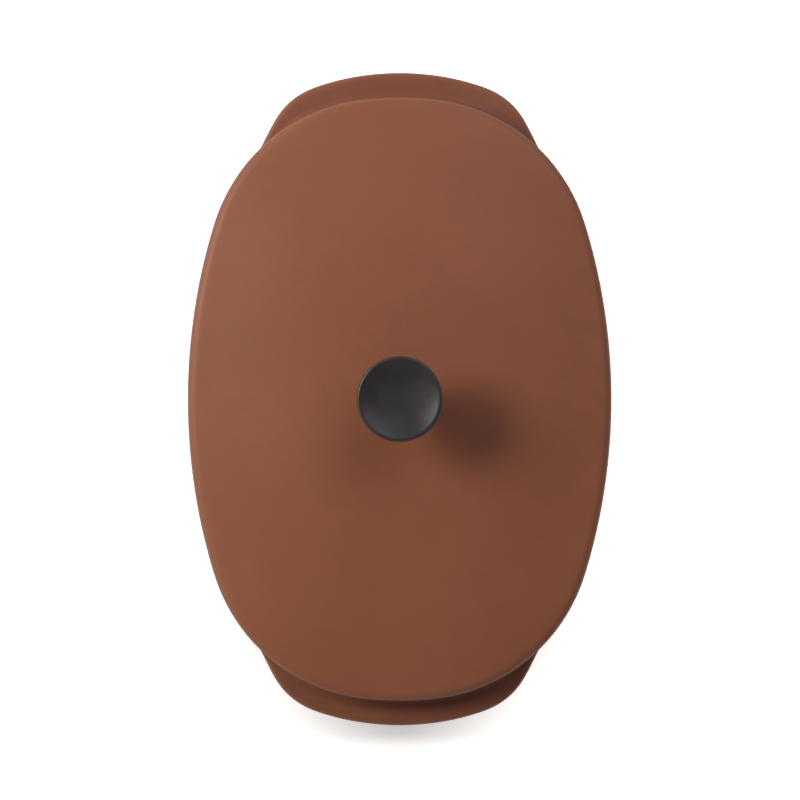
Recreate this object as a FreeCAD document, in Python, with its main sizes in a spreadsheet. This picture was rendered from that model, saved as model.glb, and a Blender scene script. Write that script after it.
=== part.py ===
import FreeCAD, Part
import math
import os
import Sketcher

# Oval lidded casserole dish, in millimetres.
# The foot stands on z = 0, the long axis lies along Y and the knob is on the Z axis.

SIZES = {
    # Outline of the dish's rim, an oval of eight tangent arcs
    "rim_width": 234.2,
    "rim_length": 333.0,
    "shoulder_setback": 10.2,
    "shoulder_spread": 8.7,
    "end_radius": 180.0,
    # Dish walls and floor
    "dish_height": 78.0,
    "wall": 8.0,
    "wall_taper": 9.0,
    "floor_thickness": 7.5,
    "outer_heel_radius": 26.0,
    "inner_heel_radius": 19.0,
    "rim_round": 2.2,
    "mouth_round": 1.5,
    # Foot ring
    "foot_height": 2.5,
    "foot_setback": 42.0,
    "foot_band": 7.0,
    "foot_round": 0.8,
    # Lug handles
    "lug_drop": 12.0,
    "lug_reach": 15.0,
    "lug_root_width": 159.0,
    "lug_break_angle": 16.8,
    "lug_tip_radius": 143.0,
    "lug_corner_radius": 40.0,
    "lug_thickness": 8.0,
    "lug_top_round": 2.2,
    "lug_underside_round": 3.5,
    "lug_root_round": 4.0,
    "lug_root_depth": 15.0,
    # Lid
    "lid_reveal": 0.3,
    "lid_edge_height": 7.0,
    "lid_edge_round": 5.0,
    "lid_foot_round": 1.0,
    "lid_rise": 13.0,
    "lid_thickness": 6.5,
    "roof_edge_drop": 3.7,
    "knob_seat_width": 40.0,
    "flange_gap": 1.5,
    "flange_thickness": 5.5,
    "flange_depth": 8.0,
    "flange_round": 1.5,
    "roof_round": 5.0,
    "screw_hole": 8.0,
    # Knob
    "knob_width": 45.6,
    "knob_height": 34.0,
    "knob_rim_height": 5.0,
    "knob_rim_round": 1.4,
    "knob_edge_round": 2.4,
    "knob_dish_depth": 4.0,
    "knob_neck_width": 17.0,
    "knob_neck_height": 11.0,
    "knob_foot_width": 26.0,
    "knob_foot_band": 1.6,
    # Knob fixing
    "seat_gasket_thickness": 1.0,
    "seat_gasket_width": 24.0,
    "lower_gasket_thickness": 1.5,
    "lower_gasket_width": 17.0,
    "washer_width": 18.0,
    "washer_thickness": 1.6,
    "washer_bore": 6.4,
    "insert_width": 10.0,
    "insert_length": 14.0,
    "insert_groove_depth": 0.6,
    "insert_groove_width": 1.6,
    "thread_width": 6.0,
    "screw_length": 20.0,
    "screw_head_width": 12.0,
    "screw_head_height": 4.2,
    "screw_head_round": 2.6,
    "screw_chamfer": 0.8,
    "recess_width": 6.6,
    "recess_slot": 1.5,
    "recess_depth": 2.2,
}

doc = FreeCAD.newDocument("casserole_dish")
sheet = doc.addObject("Spreadsheet::Sheet", "sizes")
for row, (name, number) in enumerate(SIZES.items(), start=1):
    sheet.set(f"A{row}", name)
    sheet.set(f"B{row}", str(number))
    sheet.setAlias(f"B{row}", name)
doc.recompute()


class Value:
    """A number now, and the formula over the sheet that keeps it bound."""

    def __init__(self, number, formula):
        self.number = number
        self.formula = formula

    def __add__(self, other):
        return Value(self.number + other.number, f"({self.formula} + {other.formula})")

    def __sub__(self, other):
        return Value(self.number - other.number, f"({self.formula} - {other.formula})")

    def __mul__(self, other):
        return Value(self.number * value_of(other), f"({self.formula} * {formula_of(other)})")

    def __truediv__(self, other):
        return Value(self.number / value_of(other), f"({self.formula} / {formula_of(other)})")


def value_of(factor):
    return factor.number if isinstance(factor, Value) else factor


def formula_of(factor):
    return factor.formula if isinstance(factor, Value) else str(factor)


def root_of(square):
    return Value(math.sqrt(square.number), f"sqrt({square.formula})")


def size(name):
    return Value(SIZES[name], f"sizes.{name}")


ZERO = Value(0.0, "0")
ONE = Value(1.0, "1")


class Oval:
    """Half of each overall size, the arcs' radii and how far the shoulder arcs' centres sit off the axis."""

    def __init__(self, half_width, half_length, shoulder_radius, end_radius, spread):
        self.half_width = half_width
        self.half_length = half_length
        self.shoulder_radius = shoulder_radius
        self.end_radius = end_radius
        self.spread = spread

    def shoulder_level(self):
        """How far the shoulder arcs' centres lie from the X axis."""
        drop = self.end_radius - self.shoulder_radius
        end_level = self.half_length - self.end_radius
        return end_level + root_of(drop * drop - self.spread * self.spread)

    def arcs(self):
        """Centre and radius of the right side arc, the upper right shoulder and the upper end arc."""
        shoulder = self.shoulder_radius.number
        end = self.end_radius.number
        spread = self.spread.number
        end_y = self.half_length.number - end
        shoulder_y = self.shoulder_level().number
        reach = self.half_width.number - spread
        side = (reach**2 + shoulder_y**2 - shoulder**2) / (2 * (reach - shoulder))
        side_x = self.half_width.number - side
        return (side_x, 0.0, side), (spread, shoulder_y, shoulder), (0.0, end_y, end)

    def depth_of(self, point):
        """How far inside the oval a point lies, seen from above."""
        x = abs(point.x)
        y = abs(point.y)
        side, shoulder, end = self.arcs()
        centre_x, centre_y, radius = shoulder
        if y * (centre_x - side[0]) < centre_y * (x - side[0]):
            centre_x, centre_y, radius = side
        elif x * (centre_y - end[1]) < centre_x * (y - end[1]):
            centre_x, centre_y, radius = end
        return radius - math.hypot(x - centre_x, y - centre_y)

    def inset(self, distance):
        """The parallel oval that lies this far inside."""
        return Oval(
            self.half_width - distance,
            self.half_length - distance,
            self.shoulder_radius - distance,
            self.end_radius - distance,
            self.spread,
        )

    def scaled(self, factor):
        """The similar oval about the same centre."""
        return Oval(
            self.half_width * factor,
            self.half_length * factor,
            self.shoulder_radius * factor,
            self.end_radius * factor,
            self.spread * factor,
        )


# Sketcher's numbers for a curve's start, end and centre, for its axes and for the origin
START, END, CENTRE = range(1, 4)
Y_AXIS, X_AXIS = range(-2, 0)
ORIGIN = (X_AXIS, START)


def origin_plane(body, role):
    for feature in body.Origin.OriginFeatures:
        if feature.Role == role:
            return feature
    raise ValueError(role)


def new_body(name):
    body = doc.addObject("PartDesign::Body", name)
    body.Label = name
    return body


def new_sketch(body, name, plane="XY_Plane", offset=ZERO):
    """A sketch on one of the body's own origin planes, moved along that plane's normal."""
    sketch = body.newObject("Sketcher::SketchObject", name)
    sketch.AttachmentSupport = [(origin_plane(body, plane), "")]
    sketch.MapMode = "FlatFace"
    sketch.AttachmentOffset = FreeCAD.Placement(
        FreeCAD.Vector(0, 0, offset.number), FreeCAD.Rotation()
    )
    if offset is not ZERO:
        sketch.setExpression("AttachmentOffset.Base.z", offset.formula)
    return sketch


def bind(sketch, kind, *geometry, length):
    """Adds a dimension whose value follows the sheet."""
    index = sketch.addConstraint(Sketcher.Constraint(kind, *geometry, length.number))
    sketch.setExpression(f"Constraints[{index}]", length.formula)


def arc(centre_x, centre_y, radius, start_angle, end_angle):
    circle = Part.Circle(FreeCAD.Vector(centre_x, centre_y, 0), FreeCAD.Vector(0, 0, 1), radius)
    return Part.ArcOfCircle(circle, start_angle, end_angle)


def draw_oval(sketch, oval):
    """Eight tangent arcs: sides on X, ends on Y and four equal shoulders between them."""
    (side_x, _, side), (spread, shoulder_y, shoulder), (_, end_y, end) = oval.arcs()
    side_turn = math.atan2(shoulder_y, spread - side_x)
    end_turn = math.atan2(shoulder_y - end_y, spread)
    half_turn = math.pi
    full_turn = 2 * math.pi
    arcs = [
        arc(side_x, 0, side, -side_turn, side_turn),
        arc(spread, shoulder_y, shoulder, side_turn, end_turn),
        arc(0, end_y, end, end_turn, half_turn - end_turn),
        arc(-spread, shoulder_y, shoulder, half_turn - end_turn, half_turn - side_turn),
        arc(-side_x, 0, side, half_turn - side_turn, half_turn + side_turn),
        arc(-spread, -shoulder_y, shoulder, half_turn + side_turn, half_turn + end_turn),
        arc(0, -end_y, end, half_turn + end_turn, full_turn - end_turn),
        arc(spread, -shoulder_y, shoulder, full_turn - end_turn, full_turn - side_turn),
    ]
    first = sketch.addGeometry(arcs, False)[0]
    right, upper_right, top, _, left, _, bottom, _ = range(first, first + 8)
    for step in range(8):
        following = first + (step + 1) % 8
        sketch.addConstraint(Sketcher.Constraint("Tangent", first + step, END, following, START))
    sketch.addConstraint(Sketcher.Constraint("Symmetric", right, CENTRE, left, CENTRE, *ORIGIN))
    sketch.addConstraint(Sketcher.Constraint("PointOnObject", right, CENTRE, X_AXIS))
    sketch.addConstraint(Sketcher.Constraint("Symmetric", top, CENTRE, bottom, CENTRE, *ORIGIN))
    sketch.addConstraint(Sketcher.Constraint("PointOnObject", top, CENTRE, Y_AXIS))
    sketch.addConstraint(Sketcher.Constraint("Equal", right, left))
    sketch.addConstraint(Sketcher.Constraint("Equal", top, bottom))
    for step in (3, 5, 7):
        sketch.addConstraint(Sketcher.Constraint("Equal", upper_right, first + step))
    widest_point = FreeCAD.Vector(oval.half_width.number, 0, 0)
    widest = sketch.addGeometry(Part.Point(widest_point), True)
    sketch.addConstraint(Sketcher.Constraint("PointOnObject", widest, START, right))
    sketch.addConstraint(Sketcher.Constraint("PointOnObject", widest, START, X_AXIS))
    farthest_point = FreeCAD.Vector(0, oval.half_length.number, 0)
    farthest = sketch.addGeometry(Part.Point(farthest_point), True)
    sketch.addConstraint(Sketcher.Constraint("PointOnObject", farthest, START, top))
    sketch.addConstraint(Sketcher.Constraint("PointOnObject", farthest, START, Y_AXIS))
    bind(sketch, "DistanceX", *ORIGIN, widest, START, length=oval.half_width)
    bind(sketch, "DistanceY", *ORIGIN, farthest, START, length=oval.half_length)
    bind(sketch, "Radius", upper_right, length=oval.shoulder_radius)
    bind(sketch, "Radius", top, length=oval.end_radius)
    bind(sketch, "DistanceX", *ORIGIN, upper_right, CENTRE, length=oval.spread)


def oval_sketch(body, name, offset, *ovals):
    sketch = new_sketch(body, name, offset=offset)
    for oval in ovals:
        draw_oval(sketch, oval)
    return sketch


def circle_sketch(body, name, offset, width):
    sketch = new_sketch(body, name, offset=offset)
    circle = Part.Circle(FreeCAD.Vector(0, 0, 0), FreeCAD.Vector(0, 0, 1), width.number / 2)
    index = sketch.addGeometry(circle, False)
    sketch.addConstraint(Sketcher.Constraint("Coincident", index, CENTRE, *ORIGIN))
    bind(sketch, "Diameter", index, length=width)
    return sketch


def pad(body, name, sketch, depth, downwards=False, taper=None):
    """Raises the sketch, or lowers it; a taper draws the walls in as they leave the sketch."""
    feature = body.newObject("PartDesign::Pad", name)
    feature.Profile = sketch
    feature.Length = depth.number
    feature.setExpression("Length", depth.formula)
    feature.Reversed = downwards
    lean(feature, taper)
    doc.recompute()
    return feature


def pocket(body, name, sketch, depth, upwards=False, taper=None):
    """Cuts down from the sketch, or up, and makes sure that something was removed."""
    before = body.Tip.Shape.Volume
    feature = body.newObject("PartDesign::Pocket", name)
    feature.Profile = sketch
    feature.Length = depth.number
    feature.setExpression("Length", depth.formula)
    feature.Reversed = upwards
    lean(feature, taper)
    doc.recompute()
    if not feature.Shape.Volume < before:
        raise RuntimeError(f"{name} removed nothing")
    return feature


def lean(feature, taper):
    if taper is not None:
        feature.TaperAngle = -taper.number
        feature.setExpression("TaperAngle", f"-{taper.formula}")


def loft(body, name, kind, sketches, ruled):
    feature = body.newObject(f"PartDesign::{kind}", name)
    feature.Profile = sketches[0]
    feature.Sections = sketches[1:]
    feature.Ruled = ruled
    doc.recompute()
    return feature


def fillet(body, name, edges, radius):
    """Rounds the named edges of the body's last feature."""
    base = body.Tip
    feature = body.newObject("PartDesign::Fillet", name)
    feature.Base = (base, edges)
    feature.Radius = radius.number
    feature.setExpression("Radius", radius.formula)
    doc.recompute()
    return feature


TOUCH = 0.01


def edges_where(body, test):
    """Names of the edges of the body's last feature whose box passes the test."""
    names = []
    for index, edge in enumerate(body.Tip.Shape.Edges, start=1):
        if test(edge):
            names.append(f"Edge{index}")
    return names


def lies_at(edge, level):
    box = edge.BoundBox
    return abs(box.ZMin - level.number) < TOUCH and abs(box.ZMax - level.number) < TOUCH


def depths(edge, oval):
    """How far inside the oval the edge's points lie."""
    return [oval.depth_of(point) for point in edge.discretize(5)]


def follows(edge, oval):
    return all(abs(depth) < TOUCH for depth in depths(edge, oval))


half_rim_width = size("rim_width") / 2
half_rim_length = size("rim_length") / 2
rim = Oval(
    half_rim_width,
    half_rim_length,
    half_rim_width - size("shoulder_setback") - size("shoulder_spread"),
    size("end_radius"),
    size("shoulder_spread"),
)

# Levels above the foot
rim_top = size("dish_height")
floor_under = size("foot_height")
floor_top = floor_under + size("floor_thickness")
lug_top = rim_top - size("lug_drop")
lug_under = lug_top - size("lug_thickness")
flange_under = rim_top - size("flange_depth")
lid_edge_top = rim_top + size("lid_edge_height")
roof_edge = lid_edge_top - size("roof_edge_drop")
crown = lid_edge_top + size("lid_rise")
crown_under = crown - size("lid_thickness")
knob_base = crown + size("seat_gasket_thickness")
knob_top = knob_base + size("knob_height")
washer_top = crown_under - size("lower_gasket_thickness")
screw_bearing = washer_top - size("washer_thickness")
screw_under = screw_bearing - size("screw_head_height")


def draw_lug(sketch):
    """Wing seen from above: two leaning flanks, two corner arcs and a wide tip arc.

    Each flank leaves the rim's shoulder arc at the break angle from the rim's own direction.
    """
    shoulder = rim.shoulder_radius
    break_x = size("lug_root_width") / 2
    across = break_x - rim.spread
    break_y = rim.shoulder_level() + root_of(shoulder * shoulder - across * across)
    root_y = break_y - size("lug_root_depth")
    rim_lean = math.acos(across.number / shoulder.number)
    flank_lean = rim_lean - math.radians(SIZES["lug_break_angle"])
    tip = half_rim_length.number + SIZES["lug_reach"]
    tip_radius = SIZES["lug_tip_radius"]
    corner = SIZES["lug_corner_radius"]
    tip_y = tip - tip_radius
    # The corner arc's centre lies one corner radius inside the flank and inside the tip arc
    break_point = FreeCAD.Vector(break_x.number, break_y.number, 0)
    outward = FreeCAD.Vector(math.cos(flank_lean), math.sin(flank_lean), 0)
    along = FreeCAD.Vector(-math.sin(flank_lean), math.cos(flank_lean), 0)
    start = outward * (outward.dot(break_point) - corner)
    apart = start - FreeCAD.Vector(0, tip_y, 0)
    cross = along.dot(apart)
    span = math.sqrt(cross**2 - apart.dot(apart) + (tip_radius - corner) ** 2)
    centre = start + along * (span - cross)
    swing = math.atan2(centre.y - tip_y, centre.x)
    joint = centre + outward * corner
    foot_x = break_point.x + (break_point.y - root_y.number) * math.tan(flank_lean)
    half_turn = math.pi
    shapes = [
        Part.LineSegment(FreeCAD.Vector(foot_x, root_y.number, 0), joint),
        arc(centre.x, centre.y, corner, flank_lean, swing),
        arc(0, tip_y, tip_radius, swing, half_turn - swing),
        arc(-centre.x, centre.y, corner, half_turn - swing, half_turn - flank_lean),
        Part.LineSegment(
            FreeCAD.Vector(-joint.x, joint.y, 0), FreeCAD.Vector(-foot_x, root_y.number, 0)
        ),
        Part.LineSegment(
            FreeCAD.Vector(-foot_x, root_y.number, 0), FreeCAD.Vector(foot_x, root_y.number, 0)
        ),
    ]
    sketch.addGeometry(shapes, False)
    right_flank, right_corner, tip_arc, left_corner, left_flank, root = range(6)
    for one, other in (
        (right_flank, right_corner),
        (right_corner, tip_arc),
        (tip_arc, left_corner),
        (left_corner, left_flank),
    ):
        sketch.addConstraint(Sketcher.Constraint("Tangent", one, END, other, START))
    sketch.addConstraint(Sketcher.Constraint("Coincident", left_flank, END, root, START))
    sketch.addConstraint(Sketcher.Constraint("Coincident", root, END, right_flank, START))
    sketch.addConstraint(Sketcher.Constraint("Symmetric", root, START, root, END, Y_AXIS))
    sketch.addConstraint(Sketcher.Constraint("PointOnObject", tip_arc, CENTRE, Y_AXIS))
    sketch.addConstraint(Sketcher.Constraint("Equal", right_corner, left_corner))
    apex = sketch.addGeometry(Part.Point(FreeCAD.Vector(0, tip, 0)), True)
    sketch.addConstraint(Sketcher.Constraint("PointOnObject", apex, START, tip_arc))
    sketch.addConstraint(Sketcher.Constraint("PointOnObject", apex, START, Y_AXIS))
    bind(sketch, "DistanceY", *ORIGIN, apex, START, length=half_rim_length + size("lug_reach"))
    bind(sketch, "DistanceY", *ORIGIN, root, START, length=root_y)
    bind(sketch, "Radius", tip_arc, length=size("lug_tip_radius"))
    bind(sketch, "Radius", right_corner, length=size("lug_corner_radius"))
    # A flank's direction runs from the root line up towards the tip
    rise_angle = Value(
        math.pi / 2 + flank_lean,
        f"90 deg + acos({(across / shoulder).formula}) - sizes.lug_break_angle * 1 deg",
    )
    bind(sketch, "Angle", right_flank, length=rise_angle)
    sketch.addConstraint(Sketcher.Constraint("Equal", right_flank, left_flank))
    leaving = sketch.addGeometry(Part.Point(break_point), True)
    sketch.addConstraint(Sketcher.Constraint("PointOnObject", leaving, START, right_flank))
    bind(sketch, "DistanceX", *ORIGIN, leaving, START, length=break_x)
    bind(sketch, "DistanceY", *ORIGIN, leaving, START, length=break_y)


def make_dish():
    body = new_body("dish")
    taper = size("wall_taper")
    rim_outline = oval_sketch(body, "rim_outline", rim_top, rim)
    depth = rim_top - floor_under
    pad(body, "outer_wall", rim_outline, depth, downwards=True, taper=taper)
    heel = edges_where(body, lambda edge: lies_at(edge, floor_under))
    fillet(body, "outer_heel", heel, size("outer_heel_radius"))

    lug_outline = new_sketch(body, "lug_outline", offset=lug_under)
    draw_lug(lug_outline)
    lug = pad(body, "lug", lug_outline, size("lug_thickness"))
    pair = body.newObject("PartDesign::Mirrored", "lugs")
    pair.Originals = [lug]
    pair.MirrorPlane = (origin_plane(body, "XZ_Plane"), [""])
    body.Tip = pair
    doc.recompute()

    def lug_edges(level):
        return edges_where(body, lambda edge: lies_at(edge, level) and min(depths(edge, rim)) < 0)

    def lug_root(edge):
        """The seam where a lug meets the leaning wall."""
        box = edge.BoundBox
        if box.ZMin < lug_under.number - TOUCH or box.ZMax > lug_top.number + TOUCH:
            return False
        slope = math.tan(math.radians(taper.number))
        return all(
            abs(rim.depth_of(point) - (rim_top.number - point.z) * slope) < TOUCH
            for point in edge.discretize(5)
        )

    fillet(body, "lug_underside_round", lug_edges(lug_under), size("lug_underside_round"))
    fillet(body, "lug_top_round", lug_edges(lug_top), size("lug_top_round"))
    fillet(body, "lug_root_round", edges_where(body, lug_root), size("lug_root_round"))
    fillet(body, "rim_round", edges_where(body, lambda edge: lies_at(edge, rim_top)), size("rim_round"))

    mouth = rim.inset(size("wall"))
    mouth_outline = oval_sketch(body, "mouth_outline", rim_top, mouth)
    pocket(body, "cavity", mouth_outline, rim_top - floor_top, taper=taper)
    fillet(
        body,
        "inner_heel",
        edges_where(body, lambda edge: lies_at(edge, floor_top)),
        size("inner_heel_radius"),
    )
    fillet(
        body,
        "mouth_round",
        edges_where(body, lambda edge: lies_at(edge, rim_top) and follows(edge, mouth)),
        size("mouth_round"),
    )

    foot_outer = rim.inset(size("foot_setback"))
    foot_inner = foot_outer.inset(size("foot_band"))
    foot_outline = oval_sketch(body, "foot_outline", ZERO, foot_outer, foot_inner)
    pad(body, "foot_ring", foot_outline, size("foot_height"))
    fillet(
        body,
        "foot_round",
        edges_where(body, lambda edge: lies_at(edge, ZERO)),
        size("foot_round"),
    )
    return body


def dome_sections(body, name, oval, edge, rise):
    """Similar ovals that climb and shrink from the edge to the flat seat under the knob."""
    steps = 4
    seat_share = size("knob_seat_width") / 2 / oval.half_width
    sketches = []
    for step in range(steps + 1):
        share = ONE * ((steps - step) / steps) + seat_share * (step / steps)
        climb = (ONE - share * share) / (ONE - seat_share * seat_share)
        sketches.append(oval_sketch(body, f"{name}_{step}", edge + rise * climb, oval.scaled(share)))
    return sketches


def make_lid():
    body = new_body("lid")
    outline = rim.inset(size("lid_reveal"))
    edge_outline = oval_sketch(body, "edge_outline", rim_top, outline)
    pad(body, "edge", edge_outline, size("lid_edge_height"))
    outer_sections = dome_sections(body, "dome_section", outline, lid_edge_top, size("lid_rise"))
    loft(body, "dome", "AdditiveLoft", outer_sections, ruled=False)
    upper = edges_where(body, lambda edge: lies_at(edge, lid_edge_top))
    fillet(body, "edge_round", upper, size("lid_edge_round"))
    lower = edges_where(body, lambda edge: lies_at(edge, rim_top))
    fillet(body, "lid_foot_round", lower, size("lid_foot_round"))

    # The flange drops into the dish's mouth and keeps the lid in place
    flange_outer = rim.inset(size("wall") + size("flange_gap"))
    flange_inner = flange_outer.inset(size("flange_thickness"))
    flange_outline = oval_sketch(body, "flange_outline", flange_under, flange_outer, flange_inner)
    pad(body, "flange", flange_outline, size("flange_depth"))

    # The hollow under the dome has upright sides and a roof that follows the dome
    hollow_outline = oval_sketch(body, "hollow_outline", rim_top, flange_inner)
    pocket(body, "hollow", hollow_outline, roof_edge - rim_top, upwards=True)
    roof_rise = crown_under - roof_edge
    roof_sections = dome_sections(body, "roof_section", flange_inner, roof_edge, roof_rise)
    loft(body, "roof", "SubtractiveLoft", roof_sections, ruled=False)
    cornice = edges_where(body, lambda edge: lies_at(edge, roof_edge))
    fillet(body, "roof_round", cornice, size("roof_round"))
    flange_edges = edges_where(body, lambda edge: lies_at(edge, flange_under))
    fillet(body, "flange_round", flange_edges, size("flange_round"))

    hole_outline = circle_sketch(body, "hole_outline", crown, size("screw_hole"))
    pocket(body, "screw_hole", hole_outline, size("lid_thickness"))
    return body


def turned_body(name, corners, arcs=()):
    """A closed outline of corners, each a radius and a level, turned about Z.

    The outline runs anticlockwise. Each entry of arcs is a corner's place in the list, the
    radius of the arc from it to the next corner, and whether that arc bulges outwards.
    """
    body = new_body(name)
    sketch = new_sketch(body, f"{name}_profile", plane="XZ_Plane")
    points = [FreeCAD.Vector(radius.number, level.number, 0) for radius, level in corners]
    arc_at = {index: (radius, outwards) for index, radius, outwards in arcs}
    starts = []
    ends = []
    for index, start in enumerate(points):
        end = points[(index + 1) % len(points)]
        if index not in arc_at:
            sketch.addGeometry(Part.LineSegment(start, end), False)
            starts.append(START)
            ends.append(END)
            continue
        radius, outwards = arc_at[index]
        half_chord = (end - start) * 0.5
        # The centre of an arc that bulges outwards lies to the left of the way round
        left = FreeCAD.Vector(-half_chord.y, half_chord.x, 0).normalize()
        sagitta_side = math.sqrt(radius.number**2 - half_chord.Length**2)
        centre = start + half_chord + left * (sagitta_side if outwards else -sagitta_side)
        first, last = (start, end) if outwards else (end, start)
        start_angle = math.atan2(first.y - centre.y, first.x - centre.x)
        end_angle = math.atan2(last.y - centre.y, last.x - centre.x)
        if end_angle < start_angle:
            end_angle += 2 * math.pi
        sketch.addGeometry(arc(centre.x, centre.y, radius.number, start_angle, end_angle), False)
        starts.append(START if outwards else END)
        ends.append(END if outwards else START)
        bind(sketch, "Radius", index, length=radius)
    for index, (radius, level) in enumerate(corners):
        before = (index - 1) % len(points)
        sketch.addConstraint(
            Sketcher.Constraint("Coincident", before, ends[before], index, starts[index])
        )
        if radius is ZERO:
            sketch.addConstraint(Sketcher.Constraint("PointOnObject", index, starts[index], Y_AXIS))
        else:
            bind(sketch, "DistanceX", *ORIGIN, index, starts[index], length=radius)
        bind(sketch, "DistanceY", *ORIGIN, index, starts[index], length=level)
    turn = body.newObject("PartDesign::Revolution", f"{name}_turn")
    turn.Profile = sketch
    turn.ReferenceAxis = (sketch, ["V_Axis"])
    turn.Angle = 360
    doc.recompute()
    return body


def ring_body(name, bore, width, under, thickness):
    top = under + thickness
    return turned_body(
        name,
        [(bore / 2, under), (width / 2, under), (width / 2, top), (bore / 2, top)],
    )


def upright_arc(neck, corner):
    """Radius of the arc that stands upright at the neck and ends at the corner."""
    across = corner[0] - neck[0]
    along = corner[1] - neck[1]
    return (across * across + along * along) / (across * 2)


def make_knob():
    """Trumpet-shaped knob with a hollowed top and a blind bore for its threaded insert."""
    head = size("knob_width") / 2
    foot = size("knob_foot_width") / 2
    bore = size("insert_width") / 2
    rim_round = size("knob_rim_round")
    edge_round = size("knob_edge_round")
    neck = (size("knob_neck_width") / 2, knob_base + size("knob_neck_height"))
    foot_top = (foot, knob_base + size("knob_foot_band"))
    head_under = (head - edge_round, knob_top - size("knob_rim_height"))
    dish_edge = head - rim_round
    hollow = size("knob_dish_depth")
    hollow_radius = (dish_edge * dish_edge + hollow * hollow) / (hollow * 2)
    corners = [
        (bore, knob_base),
        (foot, knob_base),
        foot_top,
        neck,
        head_under,
        (head, head_under[1] + edge_round),
        (head, knob_top - rim_round),
        (dish_edge, knob_top),
        (ZERO, knob_top - hollow),
        (ZERO, knob_base + size("insert_length")),
        (bore, knob_base + size("insert_length")),
    ]
    arcs = [
        (2, upright_arc(neck, foot_top), False),
        (3, upright_arc(neck, head_under), False),
        (4, edge_round, True),
        (6, rim_round, True),
        (7, hollow_radius, False),
    ]
    return turned_body("knob", corners, arcs)


def make_insert():
    """Threaded bush with two grooves that hold it in the knob."""
    outside = size("insert_width") / 2
    bore = size("thread_width") / 2
    groove = outside - size("insert_groove_depth")
    half_groove = size("insert_groove_width") / 2
    length = size("insert_length")
    corners = [(bore, knob_base), (outside, knob_base)]
    for share in (3, 3 / 2):
        middle = knob_base + length / share
        corners += [
            (outside, middle - half_groove),
            (groove, middle - half_groove),
            (groove, middle + half_groove),
            (outside, middle + half_groove),
        ]
    corners += [(outside, knob_base + length), (bore, knob_base + length)]
    return turned_body("knob_insert", corners)


def rectangle_sketch(body, name, offset, width, height):
    sketch = new_sketch(body, name, offset=offset)
    x = width.number / 2
    y = height.number / 2
    points = [FreeCAD.Vector(*corner, 0) for corner in ((-x, -y), (x, -y), (x, y), (-x, y))]
    for index in range(4):
        sketch.addGeometry(Part.LineSegment(points[index], points[(index + 1) % 4]), False)
    for index in range(4):
        sketch.addConstraint(Sketcher.Constraint("Coincident", index, END, (index + 1) % 4, START))
        direction = "Horizontal" if index % 2 == 0 else "Vertical"
        sketch.addConstraint(Sketcher.Constraint(direction, index))
    sketch.addConstraint(Sketcher.Constraint("Symmetric", 0, START, 2, START, *ORIGIN))
    bind(sketch, "Distance", 0, length=width)
    bind(sketch, "Distance", 1, length=height)
    return sketch


def make_screw():
    """Pan head screw, driven from under the lid, with a cross recess."""
    thread = size("thread_width") / 2
    head = size("screw_head_width") / 2
    head_round = size("screw_head_round")
    tip = screw_bearing + size("screw_length")
    chamfer = size("screw_chamfer")
    corners = [
        (ZERO, screw_under),
        (head - head_round, screw_under),
        (head, screw_under + head_round),
        (head, screw_bearing),
        (thread, screw_bearing),
        (thread, tip - chamfer),
        (thread - chamfer, tip),
        (ZERO, tip),
    ]
    body = turned_body("knob_screw", corners, [(1, head_round, True)])
    long_side = size("recess_width")
    short_side = size("recess_slot")
    for name, width, height in (
        ("recess_across", long_side, short_side),
        ("recess_along", short_side, long_side),
    ):
        outline = rectangle_sketch(body, f"{name}_outline", screw_under, width, height)
        pocket(body, name, outline, size("recess_depth"), upwards=True)
    return body


def check_document():
    for feature in doc.Objects:
        if "Invalid" in feature.State or "Error" in feature.State:
            raise RuntimeError(f"{feature.Name} failed: {feature.State}")
        if feature.TypeId == "Sketcher::SketchObject" and not feature.FullyConstrained:
            raise RuntimeError(f"{feature.Name} isn't fully constrained")


subparts = [
    make_dish(),
    make_lid(),
    make_knob(),
    make_insert(),
    ring_body(
        "knob_seat_gasket",
        size("screw_hole"),
        size("seat_gasket_width"),
        crown,
        size("seat_gasket_thickness"),
    ),
    ring_body(
        "knob_lower_gasket",
        size("washer_bore"),
        size("lower_gasket_width"),
        washer_top,
        size("lower_gasket_thickness"),
    ),
    ring_body(
        "knob_washer",
        size("washer_bore"),
        size("washer_width"),
        screw_bearing,
        size("washer_thickness"),
    ),
    make_screw(),
]
doc.recompute()
check_document()
for subpart in subparts:
    if subpart.Shape.isNull() or not subpart.Shape.isValid() or len(subpart.Shape.Solids) != 1:
        raise RuntimeError(f"{subpart.Label} isn't one valid solid")

os.makedirs("parts", exist_ok=True)
for subpart in subparts:
    subpart.Shape.exportStep(f"parts/{subpart.Label}.step")
    print(subpart.Label, round(subpart.Shape.Volume), subpart.Shape.optimalBoundingBox(False, False))
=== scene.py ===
import math

import bmesh
import bpy
from mathutils import Matrix, Vector


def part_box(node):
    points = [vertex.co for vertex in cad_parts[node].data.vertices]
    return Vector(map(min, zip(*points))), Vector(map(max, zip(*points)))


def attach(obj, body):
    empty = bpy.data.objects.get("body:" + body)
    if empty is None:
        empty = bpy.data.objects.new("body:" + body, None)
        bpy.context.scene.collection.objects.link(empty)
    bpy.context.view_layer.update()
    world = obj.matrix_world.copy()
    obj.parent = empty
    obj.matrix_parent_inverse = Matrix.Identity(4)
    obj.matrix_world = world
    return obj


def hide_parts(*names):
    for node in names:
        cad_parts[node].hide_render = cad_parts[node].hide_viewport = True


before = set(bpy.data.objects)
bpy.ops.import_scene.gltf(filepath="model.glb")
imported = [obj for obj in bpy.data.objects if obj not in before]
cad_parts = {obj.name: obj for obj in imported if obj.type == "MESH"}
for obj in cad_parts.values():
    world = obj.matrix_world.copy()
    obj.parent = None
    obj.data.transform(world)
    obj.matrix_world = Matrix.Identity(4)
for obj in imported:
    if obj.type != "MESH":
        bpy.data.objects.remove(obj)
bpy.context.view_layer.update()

# Lengths are in metres, and most are written as a number of millimetres
MM = 0.001

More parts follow.
